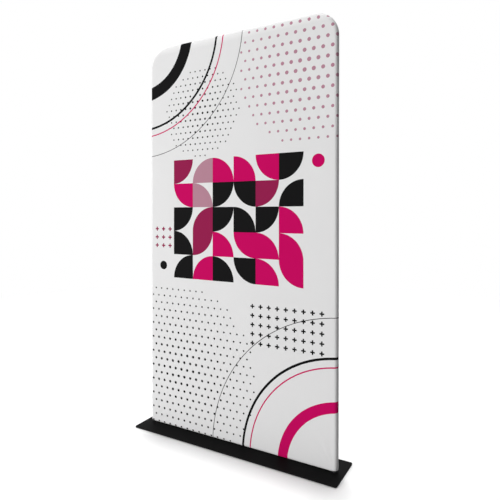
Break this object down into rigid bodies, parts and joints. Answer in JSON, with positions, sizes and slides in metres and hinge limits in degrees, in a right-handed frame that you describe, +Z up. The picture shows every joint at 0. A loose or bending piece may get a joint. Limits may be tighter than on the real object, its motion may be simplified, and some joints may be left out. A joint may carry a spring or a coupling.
{
  "type": "tension fabric banner stand",
  "caption": "Free-standing tension-fabric banner: round-cornered tube frame in a zipped printed cover, standing on a flat steel base plate.",
  "frame": {"origin": "middle of the base's footprint, at floor level, under the rubber feet", "axes": "+X across the width, to the right seen from the front; -Y is the printed front; +Z up"},
  "size_m": [1.27, 0.25, 2.3],
  "materials": {
    "plate_black": "fine-textured black powder coat on steel",
    "foot_rubber": "matt black rubber",
    "zinc": "bright zinc plate on turned steel",
    "screw_black": "black oxide",
    "nylon_black": "moulded black nylon",
    "tube_alu": "satin anodised",
    "sleeve_alu": "mill finish",
    "rivet_alu": "mill finish",
    "spring_steel": "bright spring steel",
    "button_steel": "nickel plate",
    "print_front": null,
    "fabric_back": "plain pale stretch polyester",
    "zip_tape": "woven white tape",
    "zip_nylon": "white nylon",
    "zip_metal": "nickel plate"
  },
  "bodies": {
    "base": {"base_plate": "plate_black", "base_feet": "foot_rubber", "base_pin_left": "zinc", "base_pin_right": "zinc", "base_screws": "screw_black"},
    "banner": {"bottom_corner_left": "nylon_black", "bottom_corner_right": "nylon_black", "tee_left": "nylon_black", "tee_right": "nylon_black", "lower_post_left": "tube_alu", "lower_post_right": "tube_alu", "upper_post_left": "tube_alu", "upper_post_right": "tube_alu", "corner_tube_left": "tube_alu", "corner_tube_right": "tube_alu", "top_rail": "tube_alu", "mid_rail": "tube_alu", "bottom_rail": "tube_alu", "post_connector_left": "sleeve_alu", "post_connector_right": "sleeve_alu", "rail_connector_left": "sleeve_alu", "rail_connector_right": "sleeve_alu", "rivets": "rivet_alu", "spring_bottom_left": "spring_steel", "spring_bottom_right": "spring_steel", "spring_mid_left": "spring_steel", "spring_mid_right": "spring_steel", "spring_post_left": "spring_steel", "spring_post_right": "spring_steel", "spring_corner_left": "spring_steel", "spring_corner_right": "spring_steel", "spring_top_left": "spring_steel", "spring_top_right": "spring_steel", "cover_front": "print_front", "cover_back": "fabric_back", "zip_tape_upper": "zip_tape", "zip_tape_lower": "zip_tape", "zip_teeth_upper": "zip_nylon", "zip_teeth_lower": "zip_nylon", "zip_stops": "zip_metal"},
    "button_bottom_left": {"button_bottom_left": "button_steel"},
    "button_bottom_right": {"button_bottom_right": "button_steel"},
    "button_mid_left": {"button_mid_left": "button_steel"},
    "button_mid_right": {"button_mid_right": "button_steel"},
    "button_post_left": {"button_post_left": "button_steel"},
    "button_post_right": {"button_post_right": "button_steel"},
    "button_corner_left": {"button_corner_left": "button_steel"},
    "button_corner_right": {"button_corner_right": "button_steel"},
    "button_top_left": {"button_top_left": "button_steel"},
    "button_top_right": {"button_top_right": "button_steel"},
    "zip_slider": {"zip_slider": "zip_metal"},
    "zip_pull": {"zip_pull": "zip_metal"}
  },
  "joints": [
    {"name": "banner_lift", "type": "slide", "parent": "base", "child": "banner", "axis": [0, 0, 1], "range_m": [0, 0.11]},
    {"name": "press_bottom_left", "type": "slide", "parent": "banner", "child": "button_bottom_left", "axis": [0, 0, -1], "range_m": [0, 0.0045], "stiffness_N_per_m": 1500, "springref_m": -0.003, "deforming": ["spring_bottom_left"]},
    {"name": "press_bottom_right", "type": "slide", "parent": "banner", "child": "button_bottom_right", "axis": [0, 0, -1], "range_m": [0, 0.0045], "stiffness_N_per_m": 1500, "springref_m": -0.003, "deforming": ["spring_bottom_right"]},
    {"name": "press_mid_left", "type": "slide", "parent": "banner", "child": "button_mid_left", "axis": [0, 0, 1], "range_m": [0, 0.0045], "stiffness_N_per_m": 1500, "springref_m": -0.003, "deforming": ["spring_mid_left"]},
    {"name": "press_mid_right", "type": "slide", "parent": "banner", "child": "button_mid_right", "axis": [0, 0, 1], "range_m": [0, 0.0045], "stiffness_N_per_m": 1500, "springref_m": -0.003, "deforming": ["spring_mid_right"]},
    {"name": "press_post_left", "type": "slide", "parent": "banner", "child": "button_post_left", "axis": [-1, 0, 0], "range_m": [0, 0.0045], "stiffness_N_per_m": 1500, "springref_m": -0.003, "deforming": ["spring_post_left"]},
    {"name": "press_post_right", "type": "slide", "parent": "banner", "child": "button_post_right", "axis": [1, 0, 0], "range_m": [0, 0.0045], "stiffness_N_per_m": 1500, "springref_m": -0.003, "deforming": ["spring_post_right"]},
    {"name": "press_corner_left", "type": "slide", "parent": "banner", "child": "button_corner_left", "axis": [-1, 0, 0], "range_m": [0, 0.0045], "stiffness_N_per_m": 1500, "springref_m": -0.003, "deforming": ["spring_corner_left"]},
    {"name": "press_corner_right", "type": "slide", "parent": "banner", "child": "button_corner_right", "axis": [1, 0, 0], "range_m": [0, 0.0045], "stiffness_N_per_m": 1500, "springref_m": -0.003, "deforming": ["spring_corner_right"]},
    {"name": "press_top_left", "type": "slide", "parent": "banner", "child": "button_top_left", "axis": [0, 0, 1], "range_m": [0, 0.0045], "stiffness_N_per_m": 1500, "springref_m": -0.003, "deforming": ["spring_top_left"]},
    {"name": "press_top_right", "type": "slide", "parent": "banner", "child": "button_top_right", "axis": [0, 0, 1], "range_m": [0, 0.0045], "stiffness_N_per_m": 1500, "springref_m": -0.003, "deforming": ["spring_top_right"]},
    {"name": "zip_slide", "type": "slide", "parent": "banner", "child": "zip_slider", "axis": [1, 0, 0], "range_m": [-1.08, 0], "deforming": ["zip_teeth_upper", "zip_teeth_lower"]},
    {"name": "pull_swing", "type": "hinge", "parent": "zip_slider", "child": "zip_pull", "pos_m": [0.5364, 0.0205, 0.052], "axis": [0, 0, -1], "range_deg": [0, 175]}
  ]
}
